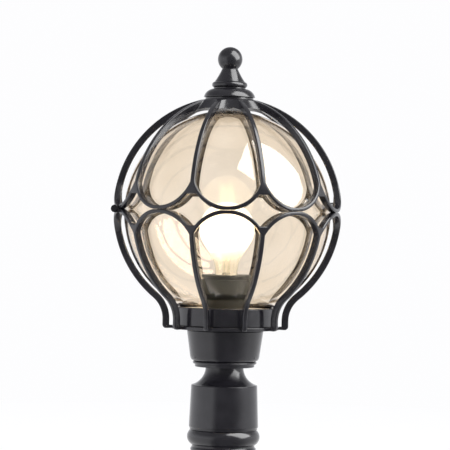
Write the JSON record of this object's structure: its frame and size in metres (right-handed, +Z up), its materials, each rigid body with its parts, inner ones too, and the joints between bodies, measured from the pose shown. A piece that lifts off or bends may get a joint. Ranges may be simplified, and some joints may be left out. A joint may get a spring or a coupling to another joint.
{
  "type": "post-top garden lantern",
  "caption": "Post-top garden lantern: a tinted glass globe in a round scalloped cage whose top half hinges open, on a flared neck and post sleeve, with a screw-in bulb",
  "frame": {"origin": "middle of the post socket's mouth, at the bottom of the sleeve", "axes": "+Z up along the lamp, -Y towards the viewer, +X to the viewer's right; the cage's hinge is on the left, at -X"},
  "size_m": [0.2499, 0.25, 0.4594],
  "materials": {
    "black_paint": "satin",
    "amber_glass": "gloss",
    "clear_glass": "gloss",
    "black_rubber": "matte",
    "steel": "satin",
    "zinc_steel": "satin",
    "brass": "satin",
    "black_resin": "satin",
    "cream_resin": "gloss",
    "lead_sleeve": "matte",
    "earth_sleeve": "matte",
    "cap_metal": "satin",
    "black_glaze": "gloss",
    "solder": "satin",
    "filament": "matte"
  },
  "bodies": {
    "lamp": {"post_sleeve": "black_paint", "set_screws": "steel", "stem": "zinc_steel", "stem_nuts": "zinc_steel", "stem_washers": "zinc_steel", "neck": "black_paint", "cup": "black_paint", "rain_seal": "black_rubber", "lower_cage": "black_paint", "hinge_pins": "black_paint", "gallery": "black_paint", "cup_screws": "steel", "globe_seal": "black_rubber", "globe": "amber_glass", "holder_strap": "zinc_steel", "strap_screws": "zinc_steel", "lampholder": "black_resin", "holder_shell": "brass", "holder_contact": "brass", "holder_screws": "zinc_steel", "terminal_block": "cream_resin", "terminal_screws": "zinc_steel", "lamp_leads": "lead_sleeve", "earth_lead": "earth_sleeve", "earth_screw": "brass"},
    "lid": {"upper_cage": "black_paint", "crown_cap": "black_paint", "top_stud": "zinc_steel", "top_washer": "zinc_steel", "top_nut": "zinc_steel", "finial": "black_paint", "clamp_screw": "steel"},
    "bulb_lift": {"bulb_contact": "solder"},
    "bulb": {"bulb_glass": "clear_glass", "bulb_cap": "cap_metal", "bulb_insulator": "black_glaze", "bulb_stem": "clear_glass", "bulb_filaments": "filament"}
  },
  "joints": [
    {"name": "cage_hinge", "type": "hinge", "parent": "lamp", "child": "lid", "pos_m": [-0.12148, 0, 0.28], "axis": [0, -1, 0], "range_deg": [0, 105]},
    {"name": "bulb_rise", "type": "slide", "parent": "lamp", "child": "bulb_lift", "axis": [0, 0, 1], "range_m": [0, 0.0182]},
    {"name": "bulb_turn", "type": "hinge", "parent": "bulb_lift", "child": "bulb", "pos_m": [0, 0, 0.26], "axis": [0, 0, 1], "range_deg": [0, 1800]}
  ],
  "couplings": [
    {"joint": "bulb_rise", "follows": "bulb_turn", "m_per_rad": 0.00057758}
  ]
}
